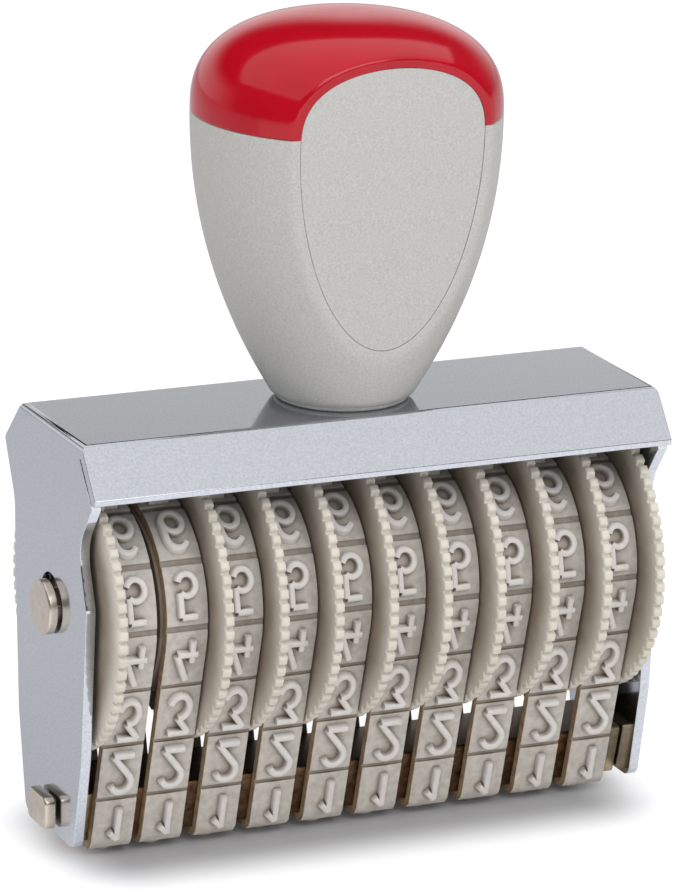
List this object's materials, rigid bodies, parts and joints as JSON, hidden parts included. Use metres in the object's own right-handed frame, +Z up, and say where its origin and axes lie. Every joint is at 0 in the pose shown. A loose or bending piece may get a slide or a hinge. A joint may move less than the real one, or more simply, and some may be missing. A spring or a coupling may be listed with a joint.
{
  "type": "number stamp",
  "caption": "Hand number stamp: toothed thumb wheels on an axle turn rubber number bands under a print bar, in a folded plated frame with a pear-shaped handle.",
  "frame": {"origin": "middle of the printing face that the stamp stands on, at the bottom centre of its box", "axes": "+X along the row of wheels to the viewer's right, -Y the front, +Z up through the handle"},
  "size_m": [0.0742, 0.0336, 0.0948],
  "materials": {
    "plated_sheet": "bright plated sheet steel, faintly streaked",
    "nickel": "dull nickel plate",
    "bar_metal": "nickel-plated bar, warm and slightly tarnished",
    "grey_plastic": "fine-grained satin moulding",
    "red_plastic": "polished moulding",
    "brass": "turned",
    "wheel_plastic": "plain satin moulding",
    "band_rubber": "moulded rubber, matt"
  },
  "bodies": {
    "stamp": {"frame": "plated_sheet", "axle": "nickel", "axle_cap": "nickel", "print_bar": "bar_metal", "left_washer": "nickel", "mid_washer": "nickel", "right_washer": "nickel", "handle_body": "grey_plastic", "handle_cap": "red_plastic", "handle_insert": "brass", "handle_screw": "nickel", "screw_washer": "nickel", "number_band_1": "band_rubber", "number_band_2": "band_rubber", "number_band_3": "band_rubber", "number_band_4": "band_rubber", "number_band_5": "band_rubber", "number_band_6": "band_rubber", "number_band_7": "band_rubber", "number_band_8": "band_rubber", "number_band_9": "band_rubber", "number_band_10": "band_rubber"},
    "wheel_1": {"number_wheel_1": "wheel_plastic"},
    "wheel_2": {"number_wheel_2": "wheel_plastic"},
    "wheel_3": {"number_wheel_3": "wheel_plastic"},
    "wheel_4": {"number_wheel_4": "wheel_plastic"},
    "wheel_5": {"number_wheel_5": "wheel_plastic"},
    "wheel_6": {"number_wheel_6": "wheel_plastic"},
    "wheel_7": {"number_wheel_7": "wheel_plastic"},
    "wheel_8": {"number_wheel_8": "wheel_plastic"},
    "wheel_9": {"number_wheel_9": "wheel_plastic"},
    "wheel_10": {"number_wheel_10": "wheel_plastic"}
  },
  "joints": [
    {"name": "wheel_1_turn", "type": "hinge", "parent": "stamp", "child": "wheel_1", "pos_m": [-0.0304, 0, 0.0291], "axis": [1, 0, 0], "continuous": true},
    {"name": "wheel_2_turn", "type": "hinge", "parent": "stamp", "child": "wheel_2", "pos_m": [-0.0232, 0, 0.0291], "axis": [1, 0, 0], "continuous": true},
    {"name": "wheel_3_turn", "type": "hinge", "parent": "stamp", "child": "wheel_3", "pos_m": [-0.0165, 0, 0.0291], "axis": [1, 0, 0], "continuous": true},
    {"name": "wheel_4_turn", "type": "hinge", "parent": "stamp", "child": "wheel_4", "pos_m": [-0.0098, 0, 0.0291], "axis": [1, 0, 0], "continuous": true},
    {"name": "wheel_5_turn", "type": "hinge", "parent": "stamp", "child": "wheel_5", "pos_m": [-0.0031, 0, 0.0291], "axis": [1, 0, 0], "continuous": true},
    {"name": "wheel_6_turn", "type": "hinge", "parent": "stamp", "child": "wheel_6", "pos_m": [0.0036, 0, 0.0291], "axis": [1, 0, 0], "continuous": true},
    {"name": "wheel_7_turn", "type": "hinge", "parent": "stamp", "child": "wheel_7", "pos_m": [0.0103, 0, 0.0291], "axis": [1, 0, 0], "continuous": true},
    {"name": "wheel_8_turn", "type": "hinge", "parent": "stamp", "child": "wheel_8", "pos_m": [0.017, 0, 0.0291], "axis": [1, 0, 0], "continuous": true},
    {"name": "wheel_9_turn", "type": "hinge", "parent": "stamp", "child": "wheel_9", "pos_m": [0.0237, 0, 0.0291], "axis": [1, 0, 0], "continuous": true},
    {"name": "wheel_10_turn", "type": "hinge", "parent": "stamp", "child": "wheel_10", "pos_m": [0.0304, 0, 0.0291], "axis": [1, 0, 0], "continuous": true}
  ]
}
